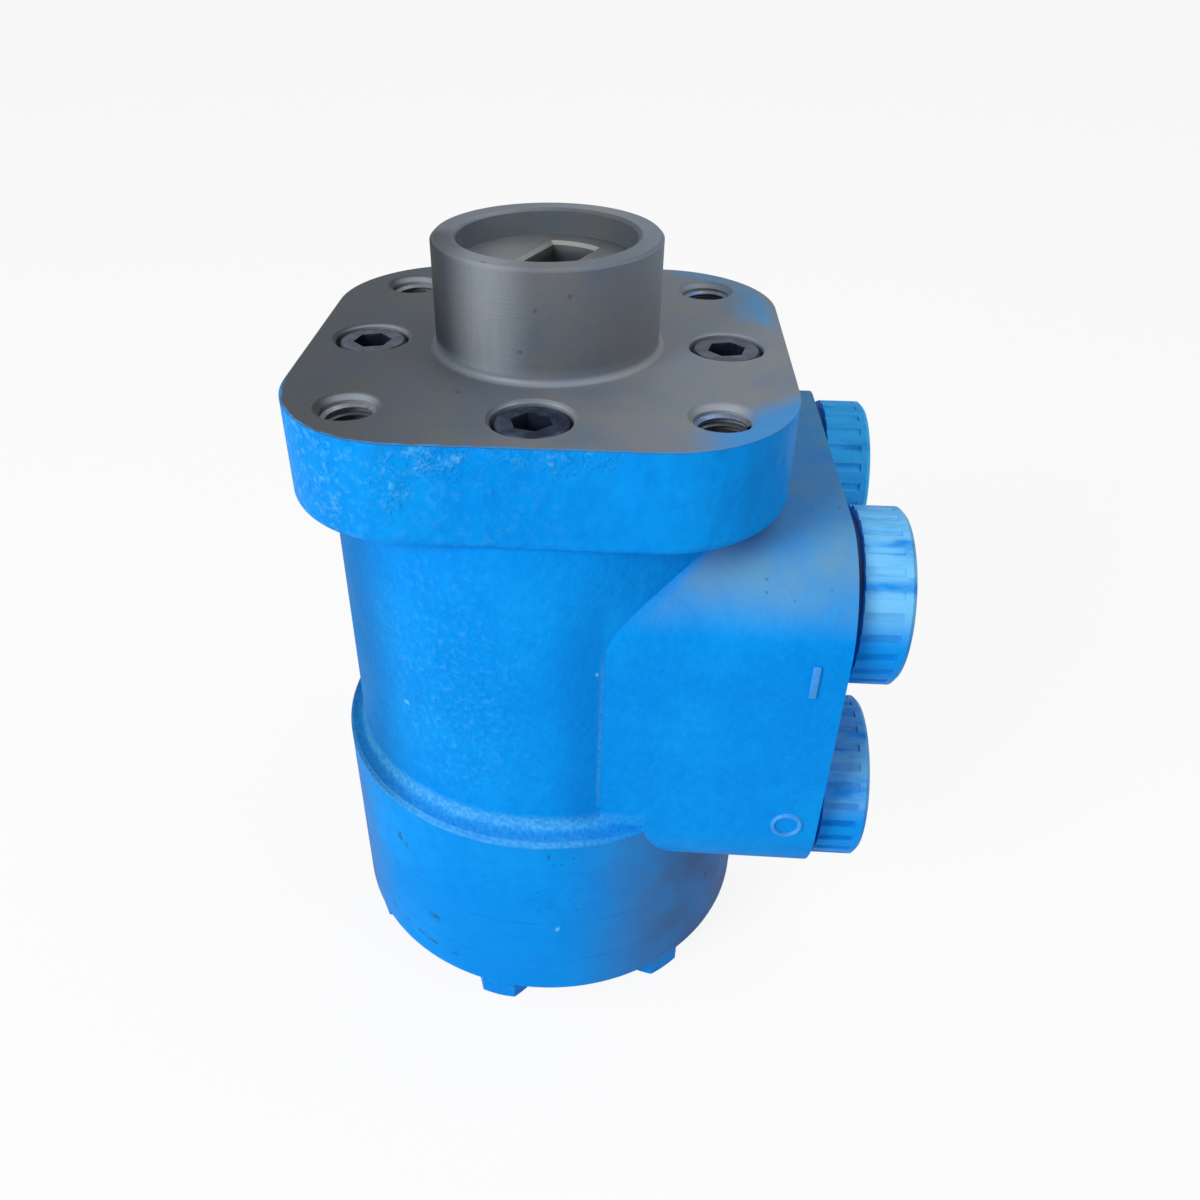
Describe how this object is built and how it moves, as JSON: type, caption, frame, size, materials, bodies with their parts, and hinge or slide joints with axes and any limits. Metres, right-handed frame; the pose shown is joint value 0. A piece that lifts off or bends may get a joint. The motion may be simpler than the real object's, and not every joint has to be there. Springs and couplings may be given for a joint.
{
  "type": "orbital steering unit",
  "caption": "Blue orbital hydraulic steering unit: square cover with a bossed column socket, round valve body, side port block with screw plugs, gear set and bolted end cover.",
  "frame": {"origin": "centre of the front cover top face, on the input axis", "axes": "+Z along the input axis out of the boss, +X towards the port face, +Y to the rear column of ports"},
  "size_m": [0.1441, 0.1172, 0.2029],
  "materials": {
    "bare_cover_iron": "machined grey iron with blue paint on its sides",
    "blue_painted_iron": "thick glossy blue enamel over cast iron",
    "blue_painted_bolts": "blue enamel over steel",
    "black_screw_steel": "black oxide, lightly oiled",
    "blue_plug_plastic": "blue moulded plastic under paint dust",
    "plug_rubber": "dark seal ring with blue paint mist",
    "seal_rubber": "matt black",
    "machined_steel": "turned and milled",
    "ground_steel": "ground and lapped",
    "spring_steel": "blued strip",
    "cage_brass": "stamped"
  },
  "bodies": {
    "housing": {"front_cover": "bare_cover_iron", "column_boss": "bare_cover_iron", "cover_screws": "black_screw_steel", "valve_body": "blue_painted_iron", "port_plug_front_upper": "blue_plug_plastic", "port_plug_front_lower": "blue_plug_plastic", "port_plug_rear_upper": "blue_plug_plastic", "port_plug_rear_lower": "blue_plug_plastic", "plug_seals": "plug_rubber", "spacer_plate": "blue_painted_iron", "stator_ring": "blue_painted_iron", "end_cover": "blue_painted_iron", "end_cover_bolts": "blue_painted_bolts", "bolt_washers": "blue_painted_bolts", "cover_o_ring": "seal_rubber", "spacer_o_ring": "seal_rubber", "stator_o_ring": "seal_rubber", "end_cover_o_ring": "seal_rubber", "shaft_seal": "seal_rubber", "bearing_race_upper": "ground_steel", "check_bushing": "machined_steel"},
    "sleeve": {"control_sleeve": "ground_steel", "cross_pin": "ground_steel", "spring_ring": "machined_steel", "leaf_springs": "spring_steel", "bearing_race_lower": "ground_steel"},
    "spool": {"control_spool": "ground_steel", "connecting_block": "machined_steel", "dust_ring": "seal_rubber"},
    "orbit_carrier": {"limit_post": "machined_steel"},
    "rotor": {"rotor": "ground_steel"},
    "drive_shaft": {"drive_shaft": "machined_steel"},
    "needle_cage": {"bearing_cage": "cage_brass", "bearing_needles": "ground_steel"},
    "check_ball": {"check_ball": "ground_steel"}
  },
  "joints": [
    {"name": "sleeve_spin", "type": "hinge", "parent": "housing", "child": "sleeve", "pos_m": [0, 0, -0.136], "axis": [0, 0, 1], "continuous": true},
    {"name": "spool_turn", "type": "hinge", "parent": "sleeve", "child": "spool", "pos_m": [0, 0, -0.052], "axis": [0, 0, 1], "range_deg": [-8, 8], "stiffness_Nm_per_rad": 6, "deforming": ["leaf_springs"]},
    {"name": "rotor_orbit", "type": "hinge", "parent": "housing", "child": "orbit_carrier", "pos_m": [0, 0, -0.157], "axis": [0, 0, 1], "continuous": true},
    {"name": "rotor_spin", "type": "hinge", "parent": "orbit_carrier", "child": "rotor", "pos_m": [0.003, 0.00011, -0.1461], "axis": [0, 0, 1], "continuous": true},
    {"name": "shaft_spin", "type": "hinge", "parent": "orbit_carrier", "child": "drive_shaft", "pos_m": [0, 0, -0.052], "axis": [-0.0318, -0.0011, 0.9995], "continuous": true},
    {"name": "cage_spin", "type": "hinge", "parent": "housing", "child": "needle_cage", "pos_m": [0, 0, -0.01325], "axis": [0, 0, 1], "continuous": true},
    {"name": "ball_lift", "type": "slide", "parent": "housing", "child": "check_ball", "axis": [0, 0, 1], "range_m": [0, 0.00145]}
  ],
  "couplings": [
    {"joint": "rotor_orbit", "follows": "sleeve_spin", "ratio": -6},
    {"joint": "rotor_spin", "follows": "sleeve_spin", "ratio": 7},
    {"joint": "shaft_spin", "follows": "sleeve_spin", "ratio": 7},
    {"joint": "cage_spin", "follows": "sleeve_spin", "ratio": 0.5}
  ]
}
